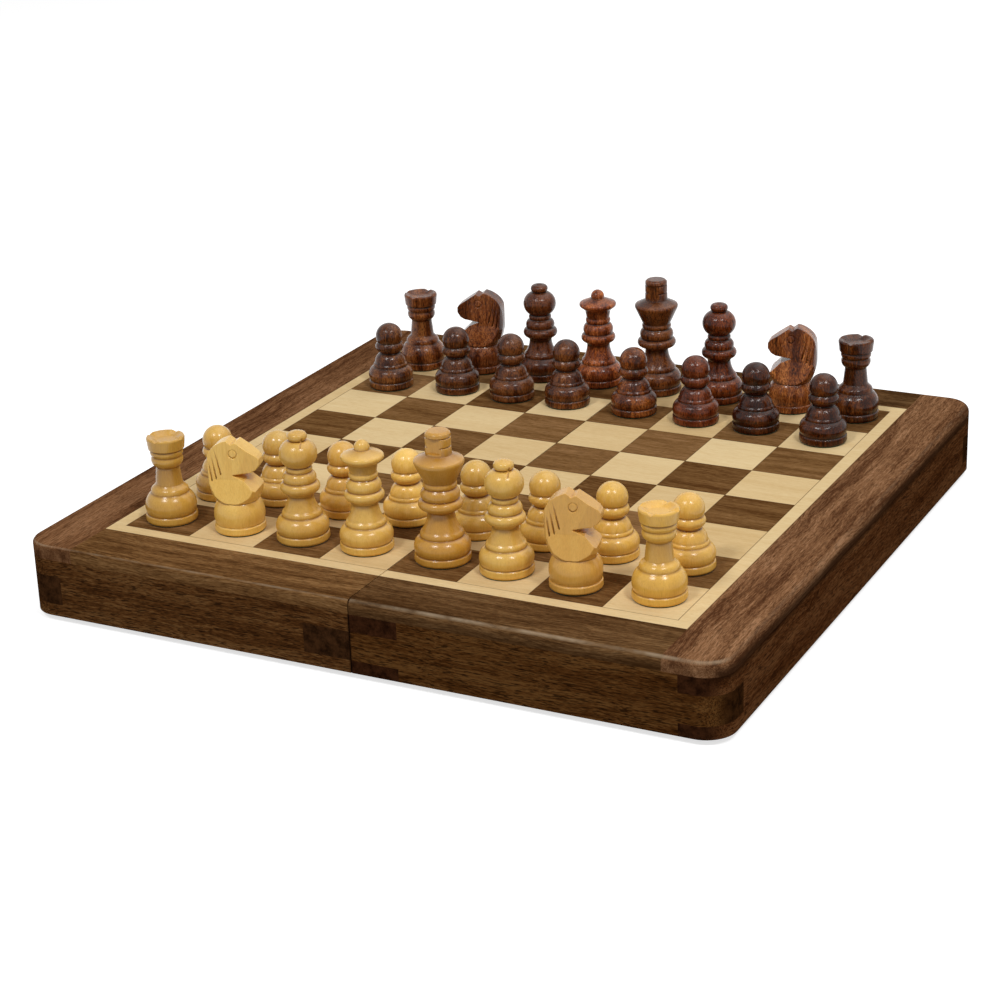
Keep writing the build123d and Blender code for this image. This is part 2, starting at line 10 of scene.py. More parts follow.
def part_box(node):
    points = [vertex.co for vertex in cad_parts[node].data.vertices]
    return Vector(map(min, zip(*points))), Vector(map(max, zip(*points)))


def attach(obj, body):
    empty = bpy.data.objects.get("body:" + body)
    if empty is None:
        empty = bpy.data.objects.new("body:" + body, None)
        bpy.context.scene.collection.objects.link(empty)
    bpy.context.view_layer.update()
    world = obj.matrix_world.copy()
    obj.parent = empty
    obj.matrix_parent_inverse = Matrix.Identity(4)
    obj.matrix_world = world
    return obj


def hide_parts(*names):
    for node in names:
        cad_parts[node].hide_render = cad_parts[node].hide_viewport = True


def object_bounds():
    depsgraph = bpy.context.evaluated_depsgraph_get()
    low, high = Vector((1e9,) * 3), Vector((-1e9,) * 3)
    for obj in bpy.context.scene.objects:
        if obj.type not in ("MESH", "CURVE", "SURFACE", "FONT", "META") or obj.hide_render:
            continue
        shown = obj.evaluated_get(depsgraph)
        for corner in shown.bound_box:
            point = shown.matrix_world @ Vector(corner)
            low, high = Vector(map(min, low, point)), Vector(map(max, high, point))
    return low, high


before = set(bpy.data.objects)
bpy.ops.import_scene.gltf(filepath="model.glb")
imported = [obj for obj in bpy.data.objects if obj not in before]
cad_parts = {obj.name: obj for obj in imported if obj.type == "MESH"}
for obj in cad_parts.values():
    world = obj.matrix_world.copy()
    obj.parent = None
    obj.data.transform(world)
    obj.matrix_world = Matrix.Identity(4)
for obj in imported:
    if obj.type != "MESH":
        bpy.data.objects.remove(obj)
cad_low, cad_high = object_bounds()

MM = 0.001

# ---------------------------------------------------------------- camera
CAMERA_AZIMUTH = radians(27.54)
CAMERA_ELEVATION = radians(21.54)
CAMERA_ROLL = radians(-2.1)
CAMERA_DISTANCE = 0.8306
CAMERA_LENS = 86.8
CAMERA_SENSOR = 36
CAMERA_CLIP = (0.01, 50)
CAMERA_TARGET = Vector((0.00632, -0.03305, 0.0273))

# ---------------------------------------------------------------- studio
WORLD_LIGHT = 0.22
FLOOR_TONE = 0.6
FLOOR_GLOW = 0.7
FLOOR_ROUGHNESS = 0.9
FLOOR_REACH = 6.0
FLOOR_DROP = 0.2  # mm below the object
# Where each lamp stands, its distance and size in metres and its power in watts. The first two
# stand to the side, up and back as the camera sees it, and the last in the frame's own axes.
VIEW_LAMPS = {
    "left_softbox": ((-0.42, 0.55, 0.70), 1.4, 0.24, 6),
    "right_softbox": ((0.26, 0.56, 0.78), 1.5, 0.17, 6),
}
TOP_LAMP = ((0.25, 0.35, 1), 1.6, 1.6, 11)

# ---------------------------------------------------------------- board, mm
SQUARE = 25.4
FIELD = 101.6  # half the width of the squares
PANEL = 106.7  # half the width of the squares with their pale line
EDGE_SLACK = 0.001
BAND_Z = 22.8  # middle and half width of the dark band under the right half's roundover
BAND_WIDTH = 2.9

# ---------------------------------------------------------------- men, mm and degrees
FELT = 0.4  # thickness of the felt under a man
FELT_INSET = 0.4
FELT_ROUND = ((0.12, 0.1), (0.05, 0.1))  # how far its lower and upper edges ease, in and along
FOOT_EDGE = 0.5  # eased lower edge of a foot
FOOT_BAND = 2.7  # height of the band round a foot
FOOT_GROOVE = 0.3  # step from the band into its groove
FOOT_SHARES = (0.97, 0.985, 0.93)  # radius under the eased edge, on the band and in the groove
FOOT_SLICE = 0.01  # how thick a slice of a CAD man counts as its sole
NICK_WIDTH = 3.0  # nicks across the rook's mouth
NICK_DEPTH = 0.8
KERF = (3.6, 0.5, 2.8)  # saw cut in the bishop's head: length, width and depth both ways
KERF_ANGLE = 43.0
KERF_SLANT = -24.0
HEAD_ARC = slice(6, 8)  # the arc of the bishop's outline that is its head
BISHOP_TURN = -42.0
HALF_TURN = 180.0
FINIAL_FLAT = 0.35  # the king's sawn flats, as shares of its foot's radius and its height
FLAT_BOTTOM = 0.842
FLAT_TOP = 0.955

SEGMENTS = 80
STEP = 0.12  # spacing of the points while an outline is softened
SOFT_PASSES = 3
FLATNESS = 0.005  # how far a thinned outline may leave the softened one
TINY = 1e-9
ON_AXIS = 0.012  # a ring with a smaller radius is a single point
GROOVE_REACH = 8  # points on each side that tell how deep a groove is
GROOVE_DEPTH = 0.30
WELD = 0.002
CARVED_VOXEL = 0.16
SMOOTHING = 0.5  # share of the way to its neighbours that a pass moves a point
CARVED_PASSES = 2
HOLLOW_PASSES = 24
CARVED_DEPTH = {"white": 0.13, "black": 0.3}  # a cut this deep is as dark as painted groove shade gets
SHARP = radians(38)

# Each row is the radius as a share of the foot's radius, the height as a share of the man's
# height, and the bow of the arc that leads there as a share of the foot's radius.
OUTLINES = {
    "king": (
        (0.75, 0.198, 0.145), (0.68, 0.244, 0.04), (0.466, 0.385, -0.05), (0.60, 0.408, 0.0),
        (0.63, 0.483, 0.17), (0.55, 0.570, 0.09), (0.56, 0.615, 0.04), (0.87, 0.755, 0.0),
        (0.88, 0.772, 0.0), (0.85, 0.785, 0.0), (0.46, 0.823, 0.0), (0.45, 0.880, 0.0),
        (0.40, 0.886, 0.0), (0.45, 0.892, 0.0), (0.45, 0.949, 0.0), (0.40, 0.955, 0.0),
        (0.45, 0.961, 0.0), (0.44, 0.985, 0.0), (0.36, 1.000, 0.0), (0.0, 1.000, 0.0),
    ),
    "queen": (
        (0.73, 0.232, 0.15), (0.66, 0.282, 0.04), (0.49, 0.430, -0.04), (0.57, 0.456, 0.0),
        (0.60, 0.546, 0.155), (0.48, 0.656, 0.10), (0.49, 0.710, 0.05), (0.55, 0.789, 0.0),
        (0.77, 0.832, 0.0), (0.71, 0.875, 0.05), (0.28, 0.915, 0.0),
    ),
    "bishop": (
        (0.73, 0.233, 0.15), (0.66, 0.283, 0.04), (0.48, 0.415, -0.04), (0.56, 0.443, 0.0),
        (0.59, 0.540, 0.165), (0.46, 0.632, 0.09), (0.44, 0.682, 0.04), (0.30, 0.917, 0.335),
        (0.18, 0.990, 0.13), (0.08, 1.000, 0.0), (0.0, 1.000, 0.0),
    ),
    "rook": (
        (0.72, 0.340, 0.145), (0.62, 0.410, 0.04), (0.52, 0.440, 0.0), (0.445, 0.645, 0.0),
        (0.55, 0.675, 0.0), (0.57, 0.772, 0.05), (0.60, 0.848, 0.045), (0.69, 0.858, 0.0),
        (0.735, 0.980, 0.0), (0.70, 1.000, 0.0), (0.58, 1.000, 0.0), (0.35, 0.960, 0.0),
        (0.0, 0.960, 0.0),
    ),
    "pawn": (
        (0.75, 0.333, 0.145), (0.70, 0.385, 0.03), (0.44, 0.540, 0.06), (0.57, 0.588, 0.0),
        (0.53, 0.706, 0.08),
    ),
}
BALL_TOPPED = ("queen", "pawn")
KINDS = (*OUTLINES, "knight")


# ================================================================ outlines


def bowed(start, end, bow):
    """Points from start (left out) to end along an arc that stands out by bow from its chord."""
    (x0, z0), (x1, z1) = start, end
    chord = hypot(x1 - x0, z1 - z0)
    if not bow:
        return [end]
    radius = (chord * chord / 4 + bow * bow) / (2 * abs(bow))
    half_angle = asin(min(1.0, chord / (2 * radius)))
    if abs(bow) > chord / 2:
        half_angle = pi - half_angle
    along = ((x1 - x0) / chord, (z1 - z0) / chord)
    out = (along[1], -along[0])
    side = 1 if bow > 0 else -1
    steps = max(4, int(radius * half_angle / STEP))
    points = []
    for k in range(1, steps + 1):
        angle = half_angle * (2 * k / steps - 1)
        run = radius * sin(angle)
        rise = side * radius * (cos(angle) - cos(half_angle))
        points.append((
            (x0 + x1) / 2 + along[0] * run + out[0] * rise,
            (z0 + z1) / 2 + along[1] * run + out[1] * rise,
        ))
    return points


def drawn_outline(kind, r, h):
    """The outline in millimetres, with every arc drawn out."""
    sole, band, groove = FOOT_SHARES
    points = [
        (sole * r, FELT),
        (r, FELT + FOOT_EDGE),
        (band * r, FOOT_BAND),
        (groove * r, FOOT_BAND + FOOT_GROOVE),
    ]
    for share_r, share_h, bow in OUTLINES[kind]:
        points += bowed(points[-1], (share_r * r, share_h * h), bow * r)
    if kind in BALL_TOPPED:
        x, z = points[-1]
        middle = (h * h - z * z - x * x) / (2 * (h - z))
        ball = h - middle
        start = atan((z - middle) / x)
        steps = int(ball * (pi / 2 - start) / STEP)
        for k in range(1, steps + 1):
            angle = start + (pi / 2 - start) * k / steps
            points.append((ball * cos(angle), middle + ball * sin(angle)))
    return points


def evenly(points, spacing):
    """The same line with points at an even spacing."""
    made = [points[0]]
    for (x0, z0), (x1, z1) in zip(points, points[1:]):
        count = max(1, round(hypot(x1 - x0, z1 - z0) / spacing))
        made += [(x0 + (x1 - x0) * k / count, z0 + (z1 - z0) * k / count) for k in range(1, count + 1)]
    return made


def softened(points, passes):
    """The line with its corners eased, as sanding and lacquer leave them."""
    for _ in range(passes):
        inner = [
            ((a[0] + 2 * b[0] + c[0]) / 4, (a[1] + 2 * b[1] + c[1]) / 4)
            for a, b, c in zip(points, points[1:], points[2:])
        ]
        points = [points[0], *inner, points[-1]]
    return points


def thinned(points, flatness):
    """The line without the points that it doesn't need."""
    (x0, z0), (x1, z1) = points[0], points[-1]
    chord = hypot(x1 - x0, z1 - z0) or TINY
    away = [abs((x1 - x0) * (z0 - z) - (x0 - x) * (z1 - z0)) / chord for x, z in points[1:-1]]
    if not away or max(away) < flatness:
        return [points[0], points[-1]]
    k = away.index(max(away)) + 1
    return thinned(points[: k + 1], flatness)[:-1] + thinned(points[k:], flatness)


def hollows(points):
    """How deep each point of a line lies in a groove, from 0 to 1."""
    found = []
    for k, (x, _) in enumerate(points):
        reach = min(GROOVE_REACH, k, len(points) - 1 - k)
        near = points[k - reach: k + reach + 1]
        depth = sum(p[0] for p in near) / len(near) - x
        found.append(min(1.0, max(0.0, depth / GROOVE_DEPTH)))
    return found


# ================================================================ meshes


def new_piece(name, build):
    """A smooth-shaded object that build draws in millimetres round its own origin."""
    mesh = bpy.data.meshes.new(name)
    made = bmesh.new()
    build(made)
    bmesh.ops.recalc_face_normals(made, faces=made.faces)
    made.to_mesh(mesh)
    made.free()
    mesh.shade_smooth()
    mesh.transform(Matrix.Scale(MM, 4))
    piece = bpy.data.objects.new(name, mesh)
    bpy.context.scene.collection.objects.link(piece)
    return piece


def baked(piece, **modifiers):
    """Replaces the piece's mesh with what its modifiers make of it."""
    for kind, settings in modifiers.items():
        modifier = piece.modifiers.new(kind, kind)
        for key, value in settings.items():
            setattr(modifier, key, value)
    view = bpy.context.evaluated_depsgraph_get()
    mesh = bpy.data.meshes.new_from_object(piece.evaluated_get(view))
    piece.modifiers.clear()
    piece.data = mesh
    mesh.shade_smooth()
    mesh.set_sharp_from_angle(angle=SHARP)


def bridge(made, low, high):
    """Faces between two rings, the upper of which may be a single point."""
    for k in range(SEGMENTS):
        nxt = (k + 1) % SEGMENTS
        if len(high) == 1:
            made.faces.new((low[k], low[nxt], high[0]))
        else:
            made.faces.new((low[k], low[nxt], high[nxt], high[k]))


def ring_at(made, radius, z):
    turns = [2 * pi * k / SEGMENTS for k in range(SEGMENTS)]
    return [made.verts.new((radius * cos(turn), radius * sin(turn), z)) for turn in turns]


def lathe(made, kind, r, h):
    """Turns an outline about Z, and marks how deep each ring lies in a groove, for its painted shade.
    """
    hollow = made.verts.layers.float.new("hollow")
    fine = softened(evenly(drawn_outline(kind, r, h), STEP), SOFT_PASSES)
    depth = dict(zip(fine, hollows(fine)))
    rings = []
    for x, z in thinned(fine, FLATNESS):
        ring = ring_at(made, x, z) if x > ON_AXIS else [made.verts.new((0, 0, z))]
        for vert in ring:
            vert[hollow] = depth[(x, z)]
        rings.append(ring)
    for low, high in zip(rings, rings[1:]):
        bridge(made, low, high)
    made.faces.new(rings[0])


def felt_disc(made, r):
    """Felt under a man, a little rounded at its edge."""
    (low_in, low_up), (top_in, top_down) = FELT_ROUND
    outline = ((r - low_in, 0.0), (r, low_up), (r, FELT - top_down), (r - top_in, FELT))
    rings = [ring_at(made, radius, z) for radius, z in outline]
    for low, high in zip(rings, rings[1:]):
        bridge(made, low, high)
    made.faces.new(rings[0])
    made.faces.new(rings[-1])


def block(made, size, place):
    """A box of a size, in millimetres, that a matrix puts in its place."""
    corners = bmesh.ops.create_cube(made, size=1.0)["verts"]
    bmesh.ops.transform(made, matrix=place @ Matrix.Diagonal((*size, 1.0)), verts=corners)


def finial_cutters(made, r, h):
    """Two blocks that saw the king's finial flat, front and back."""
    height = (FLAT_TOP - FLAT_BOTTOM) * h
    for side in (-1, 1):
        middle = (0, side * (FINIAL_FLAT + 0.5) * r, (FLAT_TOP + FLAT_BOTTOM) / 2 * h)
        block(made, (2 * r, r, height), Matrix.Translation(middle))


def kerf_cutter(made, r, h):
    """A thin slanting block that cuts the bishop's head."""
    (neck_r, neck_h, _), (top_r, top_h, bow) = OUTLINES["bishop"][HEAD_ARC]
    reach = ((neck_r + top_r) / 2 + bow) * r
    angle = radians(KERF_ANGLE)
    middle = (reach * sin(angle), 0, (neck_h + top_h) / 2 * h + reach * cos(angle))
    lean = Matrix.Rotation(angle, 4, "Y") @ Matrix.Rotation(radians(KERF_SLANT), 4, "Z")
    block(made, KERF, Matrix.Translation(middle) @ lean)


def nick_cutters(made, r, h):
    """Two crossing prisms that nick the rook's mouth."""
    for turn in (0.0, pi / 2):
        spin = Matrix.Rotation(turn, 4, "Z")
        corners = [
            made.verts.new(spin @ Vector((x * r, y * NICK_WIDTH, h + z * NICK_DEPTH)))
            for x in (-1, 1)
            for y, z in ((0, -1), (1, 1), (-1, 1))
        ]
        made.faces.new(corners[:3])
        made.faces.new(corners[3:])
        for k in range(3):
            nxt = (k + 1) % 3
            made.faces.new((corners[k], corners[nxt], corners[3 + nxt], corners[3 + k]))


CUTTERS = {"king": finial_cutters, "bishop": kerf_cutter, "rook": nick_cutters}


def turned_man(name, kind, r, h):
    """A man from the lathe, with the cuts of its kind."""
    body = new_piece(f"{name}_turned", lambda made: lathe(made, kind, r, h))
    if kind in CUTTERS:
        tool = new_piece(f"{name}_cutter", lambda made: CUTTERS[kind](made, r, h))
        baked(body, BOOLEAN={"operation": "DIFFERENCE", "solver": "EXACT", "object": tool})
        bpy.data.objects.remove(tool)
    return body


def biggest_solid(made):
    """Deletes all of a mesh but its biggest connected part."""
    bmesh.ops.remove_doubles(made, verts=made.verts, dist=WELD * MM)
    left = set(made.verts)
    parts = []
    while left:
        part, edge = set(), [next(iter(left))]
        while edge:
            vert = edge.pop()
            if vert not in part:
                part.add(vert)
                edge += [link.other_vert(vert) for link in vert.link_edges]
        left -= part
        parts.append(part)
    biggest = max(parts, key=len)
    bmesh.ops.delete(made, geom=[v for v in made.verts if v not in biggest], context="VERTS")


def mark_hollows(body, full_depth):
    """Marks how deep each point of a carved man lies in a cut, beside a much smoother copy, for its
    painted shade.
    """
    smooth = body.copy()
    smooth.data = body.data.copy()
    bpy.context.scene.collection.objects.link(smooth)
    baked(smooth, SMOOTH={"factor": SMOOTHING, "iterations": HOLLOW_PASSES})
    depths = [
        (far.co - near.co).dot(near.normal) / MM / full_depth
        for near, far in zip(body.data.vertices, smooth.data.vertices)
    ]
    hollow = body.data.attributes.new("hollow", "FLOAT", "POINT")
    hollow.data.foreach_set("value", [min(1.0, max(0.0, depth)) for depth in depths])
    bpy.data.objects.remove(smooth)


def carved_man(name, spot):
    """A softened copy of a carved man's solid, round its own origin."""
    mesh = bpy.data.meshes.new(f"{name}_carved")
    made = bmesh.new()
    made.from_mesh(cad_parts[name].data)
    biggest_solid(made)
    bmesh.ops.translate(made, verts=made.verts, vec=-spot)
    made.to_mesh(mesh)
    made.free()
    body = bpy.data.objects.new(f"{name}_carved", mesh)
    bpy.context.scene.collection.objects.link(body)
    baked(
        body,
        REMESH={"mode": "VOXEL", "voxel_size": CARVED_VOXEL * MM},
        SMOOTH={"factor": SMOOTHING, "iterations": CARVED_PASSES},
    )
    mark_hollows(body, CARVED_DEPTH["white" if name.startswith("white") else "black"])
    return body


# ================================================================ materials


# Places of the Mix node's colour sockets
MIX_A, MIX_B, MIX_RESULT = 6, 7, 2


def node(tree, kind, inputs=(), **settings):
    """A shader node with its settings and its inputs, each a value or another node's output."""
    made = tree.nodes.new("ShaderNode" + kind)
    for key, value in settings.items():
        setattr(made, key, value)
    for key, value in dict(inputs).items():
        if isinstance(value, bpy.types.NodeSocket):
            tree.links.new(value, made.inputs[key])
        else:
            made.inputs[key].default_value = value
    return made


def maths(tree, operation, *values):
    return node(tree, "Math", dict(enumerate(values)), operation=operation).outputs[0]


def vector(tree, operation, *values):
    return node(tree, "VectorMath", dict(enumerate(values)), operation=operation).outputs[0]


def scaled(tree, place, factor):
    return node(tree, "VectorMath", {0: place, "Scale": factor}, operation="SCALE").outputs[0]


def noise(tree, place, scale, detail=3.0, rough=0.6):
    inputs = {"Vector": place, "Scale": scale, "Detail": detail, "Roughness": rough}
    return node(tree, "TexNoise", inputs).outputs[0]


def around(tree, value, gain, base):
    """A noise swung about its middle: base + gain x (value - 0.5)."""
    return maths(tree, "MULTIPLY_ADD", maths(tree, "SUBTRACT", value, 0.5), gain, base)


def mixed(tree, share, a, b, blend="MIX"):
    inputs = {0: share, MIX_A: a, MIX_B: b}
    return node(tree, "Mix", inputs, data_type="RGBA", blend_type=blend).outputs[MIX_RESULT]


def ramp(tree, value, *stops):
    """A colour ramp through the stops, each a place and a colour."""
    made = node(tree, "ValToRGB", {0: value})
    elements = made.color_ramp.elements
    while len(elements) < len(stops):
        elements.new(0.5)
    for element, (place, colour) in zip(elements, stops):
        element.position = place
        element.color = colour
    return made.outputs[0]


def grey(level):
    return (level, level, level, 1)


def step(tree, value, low, high, start=0, end=1):
    """A grey from start, where the value is low, to end, where it is high."""
    return ramp(tree, value, (low, grey(start)), (high, grey(end)))


def raise_surface(tree, shader, height, strength, distance):
    """Gives the shader a bump of a height in metres."""
    bump = node(tree, "Bump", {"Height": height, "Strength": strength, "Distance": distance})
    tree.links.new(bump.outputs[0], shader.inputs["Normal"])


def srgb(red, green, blue):
    """A colour written as it shows, from 0 to 255, taken through the standard sRGB curve."""
    shares = [c / 255 for c in (red, green, blue)]
    return (*[((c + 0.055) / 1.055) ** 2.4 if c > 0.04 else c / 12.92 for c in shares], 1)


def new_material(name):
    material = bpy.data.materials.new(name)
    material.use_nodes = True
    tree = material.node_tree
    tree.nodes.clear()
    shader = node(tree, "BsdfPrincipled")
    output = node(tree, "OutputMaterial")
    tree.links.new(shader.outputs[0], output.inputs[0])
    return material, tree, shader


ALONG = {"X": Vector((1, 0, 0)), "Y": Vector((0, 1, 0)), "Z": Vector((0, 0, 1))}
ACROSS = Vector((1, 1, 1))

# Patterns drawn out along the grain: features to the millimetre, their length and their detail
GROWTH = (0.2, 14, 3.0)
STREAK = (1.5, 22, 3.0)
FIBRE = (3.6, 8, 2.0)
RAGGED = (0.3, 12, 3.0)
BRUSHING = (5.0, 30, 2.0)

# Other patterns: features to the millimetre, detail and roughness
PORES = (3.3, 1.0, 0.5)
RINGS = (0.3, 6.0, 0.75)
TUFTS = (2.6, 4.0, 0.7)
HIGHLIGHT_PATCHES = (0.08, 3.0, 0.6)
FELT_CLOUDS = (0.16, 2.0, 0.6)
TARNISH = (0.22, 4.0, 0.6)

# Figure of the wood
WAVE = {"Scale": 0.02, "Detail": 2.0}
WAVE_SWAY = 7.0  # mm
TONE_STOPS = (0.2, 0.5, 0.8)
PORE_STOPS = (0.54, 0.62)
CUT_STOPS = (0.6, 0.92)  # how squarely a surface cuts the grain before it shows end grain
RING_STOPS = (0.40, 0.60)
VENEER_SPREAD = 400  # mm that two pieces of wood lie apart in the pattern
PIECE_SPREAD = 300

# Marks on the box, mm and shares: glue lines, painted shade beside the seam, the dark band
# under the right half's roundover, and a painted highlight on the eased front and back edges
GLUE_AND_SEAM_SHADE_REACH = (0.06, 0.22)
SEAM_SHADE_DISTANCE = {"seam": 0.3, "frame": 1.5}  # what a millimetre from the seam counts for in its painted shade
GLUE_AND_SEAM_SHADE_SHARE = 0.7
BAND_STRAIGHT = (0.45, 0.75)  # how squarely a side faces outward before it has the band
BAND_RISE = 2.5
BAND_CORE = 0.2  # share of the band's half width that is fully dark
# A painted highlight along the eased front and back edges, patchy, fainter on the sides and the left
# half
HIGHLIGHT_STOPS = (0.56, 0.78, 0.86, 0.95)  # how far upward the edge faces under its painted highlight
HIGHLIGHT_PATCH_STOPS = (0.4, 0.6)
HIGHLIGHT_BETWEEN = 0.25  # between the patches
HIGHLIGHT_OUTWARD_STOPS = (0.1, 0.4)  # how squarely the edge faces front or back
HIGHLIGHT_SIDES = 0.15
HIGHLIGHT_LEFT = 0.6

# What wood() takes where its material says nothing else
USUAL_LOOK = {
    "figure": 0.8, "streak": 1.0, "fibre": 1.3, "own": 0.2, "pore": 0.5, "dash": 12,
    "end": 0.9, "rough": 0.5, "gloss": 0.0, "bump": 0.3,
}
ROUGH_SWING = 0.2
RELIEF = 0.0001  # m

# Felt and metal
FELT_SHARES = (0.7, 0.3)
FELT_STOPS = (0.3, 0.7)
FELT_SURFACE = {"Roughness": 0.95, "Sheen Weight": 0.3, "Specular IOR Level": 0.1}
FELT_BUMP = 0.6
FELT_RELIEF = 0.0002  # m
TARNISH_STOPS = (0.35, 0.6)
BRUSHING_SWING = 0.25


def stretched(tree, place, axis, length):
    """Coordinates in which the pattern is length times as long along the grain."""
    return vector(tree, "MULTIPLY", place, ACROSS - ALONG[axis] * (1 - 1 / length))


def drawn_out(tree, place, axis, pattern):
    """A noise that runs along the grain."""
    scale, length, detail = pattern
    return noise(tree, stretched(tree, place, axis, length), scale, detail)


def own_shift(tree, place, by_cell):
    """Coordinates and a random number of one piece of wood: a square's veneer or an object."""
    if by_cell:
        flat = vector(tree, "MULTIPLY", place, (1 / SQUARE, 1 / SQUARE, 0))
        own = node(tree, "TexWhiteNoise", {0: vector(tree, "FLOOR", flat)}).outputs
        return vector(tree, "ADD", place, scaled(tree, own["Color"], VENEER_SPREAD)), own["Value"]
    own = node(tree, "ObjectInfo").outputs["Random"]
    shift = node(tree, "CombineXYZ", {0: own, 1: own, 2: own}).outputs[0]
    return vector(tree, "ADD", place, scaled(tree, shift, PIECE_SPREAD)), own


def grain(tree, place, axis, own, tones, look):
    """Colour of long-grained wood, with the masks of its pores and fibres."""
    dark, usual, light, pore_tone, _ = tones
    wave = node(tree, "TexNoise", {"Vector": place, **WAVE}).outputs["Color"]
    waved = vector(tree, "ADD", place, scaled(tree, wave, WAVE_SWAY))
    growth, streak, fibre = [
        drawn_out(tree, waved, axis, pattern) for pattern in (GROWTH, STREAK, FIBRE)
    ]
    pores = noise(tree, stretched(tree, waved, axis, look["dash"]), *PORES)

    value = around(tree, growth, look["figure"], 0.5)
    for more, gain in ((streak, look["streak"]), (own, look["own"]), (fibre, look["fibre"])):
        value = maths(tree, "ADD", value, around(tree, more, gain, 0.0))
    colour = ramp(tree, value, *zip(TONE_STOPS, (dark, usual, light)))
    pore = step(tree, pores, *PORE_STOPS)
    return mixed(tree, maths(tree, "MULTIPLY", pore, look["pore"]), colour, pore_tone), pore, fibre


def end_grain(tree, place, normal, axis, colour, tones, share):
    """The colour, darker where the surface cuts across the grain."""
    facing = node(tree, "VectorMath", {0: normal, 1: ALONG[axis]}, operation="DOT_PRODUCT")
    cut = step(tree, maths(tree, "ABSOLUTE", facing.outputs["Value"]), *CUT_STOPS)
    rings = noise(tree, vector(tree, "MULTIPLY", place, ACROSS - ALONG[axis]), *RINGS)
    end_colour = mixed(tree, step(tree, rings, *RING_STOPS), tones[4], tones[3])
    return mixed(tree, maths(tree, "MULTIPLY", cut, share), colour, end_colour)


def right_half(tree, spot):
    """1 on the right half of the board."""
    return maths(tree, "GREATER_THAN", node(tree, "SeparateXYZ", {0: spot}).outputs[0], 0.0)


def glue_line_and_seam_shade_mask(tree, place, joint):
    """1 on the glue lines round the squares or the pale line, and in painted shade beside the seam."""
    x, y, _ = node(tree, "SeparateXYZ", {0: place}).outputs
    if joint == "squares":
        near = maths(tree, "MINIMUM", *[maths(tree, "PINGPONG", run, SQUARE / 2) for run in (x, y)])
    else:
        near = maths(tree, "MULTIPLY", maths(tree, "ABSOLUTE", x), SEAM_SHADE_DISTANCE[joint])
    if joint == "frame":
        edge = maths(tree, "MAXIMUM", maths(tree, "ABSOLUTE", x), maths(tree, "ABSOLUTE", y))
        for line in (FIELD, PANEL):
            away = maths(tree, "ABSOLUTE", maths(tree, "SUBTRACT", edge, line))
            near = maths(tree, "MINIMUM", near, away)
    return step(tree, near, *GLUE_AND_SEAM_SHADE_REACH, 1, 0)


def band_mask(tree, place, normal, axis):
    """1 in a ragged dark band on the right half's straight edges, under their roundover."""
    height = node(tree, "SeparateXYZ", {0: place}).outputs[2]
    facing = node(tree, "SeparateXYZ", {0: normal}).outputs["Y" if axis == "X" else "X"]
    straight = step(tree, maths(tree, "ABSOLUTE", facing), *BAND_STRAIGHT)
    ragged = around(tree, drawn_out(tree, place, axis, RAGGED), BAND_RISE, 0.0)
    away = maths(tree, "ABSOLUTE", maths(tree, "SUBTRACT", maths(tree, "ADD", height, ragged), BAND_Z))
    band = step(tree, maths(tree, "DIVIDE", away, BAND_WIDTH), BAND_CORE, 1.0, 1, 0)
    return maths(tree, "MULTIPLY", band, maths(tree, "MULTIPLY", straight, right_half(tree, place)))


def painted_highlight_mask(tree, place, normal):
    """1 along the eased front and back edges, where a pale painted highlight lies on the roundover."""
    _, outward, upward = node(tree, "SeparateXYZ", {0: normal}).outputs
    edge = ramp(tree, upward, *zip(HIGHLIGHT_STOPS, (grey(0), grey(1), grey(1), grey(0))))
    patchy = step(tree, noise(tree, place, *HIGHLIGHT_PATCHES), *HIGHLIGHT_PATCH_STOPS, HIGHLIGHT_BETWEEN)
    front = step(tree, maths(tree, "ABSOLUTE", outward), *HIGHLIGHT_OUTWARD_STOPS, HIGHLIGHT_SIDES)
    half = maths(tree, "MULTIPLY_ADD", right_half(tree, place), 1 - HIGHLIGHT_LEFT, HIGHLIGHT_LEFT)
    for mask in (patchy, front, half):
        edge = maths(tree, "MULTIPLY", edge, mask)
    return edge


def marked(tree, colour, spot, normal, axis, tones, look):
    """The colour with the marks that the look asks for."""
    if "right" in look:
        colour = mixed(tree, right_half(tree, spot), colour, (*look["right"], 1), "MULTIPLY")
    # dark glue lines, and painted shade beside the seam between the halves
    if "joint" in look:
        line = maths(tree, "MULTIPLY", glue_line_and_seam_shade_mask(tree, spot, look["joint"]), GLUE_AND_SEAM_SHADE_SHARE)
        colour = mixed(tree, line, colour, look.get("joint_tone", tones[3]))
    if "band" in look:
        band = maths(tree, "MULTIPLY", band_mask(tree, spot, normal, axis), look["band"])
        colour = mixed(tree, band, colour, tones[3])
    # a pale painted highlight along the eased edges
    if "edge_highlight" in look:
        highlight_share = maths(tree, "MULTIPLY", painted_highlight_mask(tree, spot, normal), look["edge_highlight"])
        colour = mixed(tree, highlight_share, colour, HIGHLIGHT_TONE)
    # painted shade in the grooves and cuts of a man
    if "hollow" in look:
        hollow = node(tree, "Attribute", attribute_name="hollow").outputs["Fac"]
        colour = mixed(tree, maths(tree, "MULTIPLY", hollow, look["hollow"]), colour, tones[3])
        colour = mixed(tree, 1.0, colour, node(tree, "ObjectInfo").outputs["Color"], "MULTIPLY")
    return colour


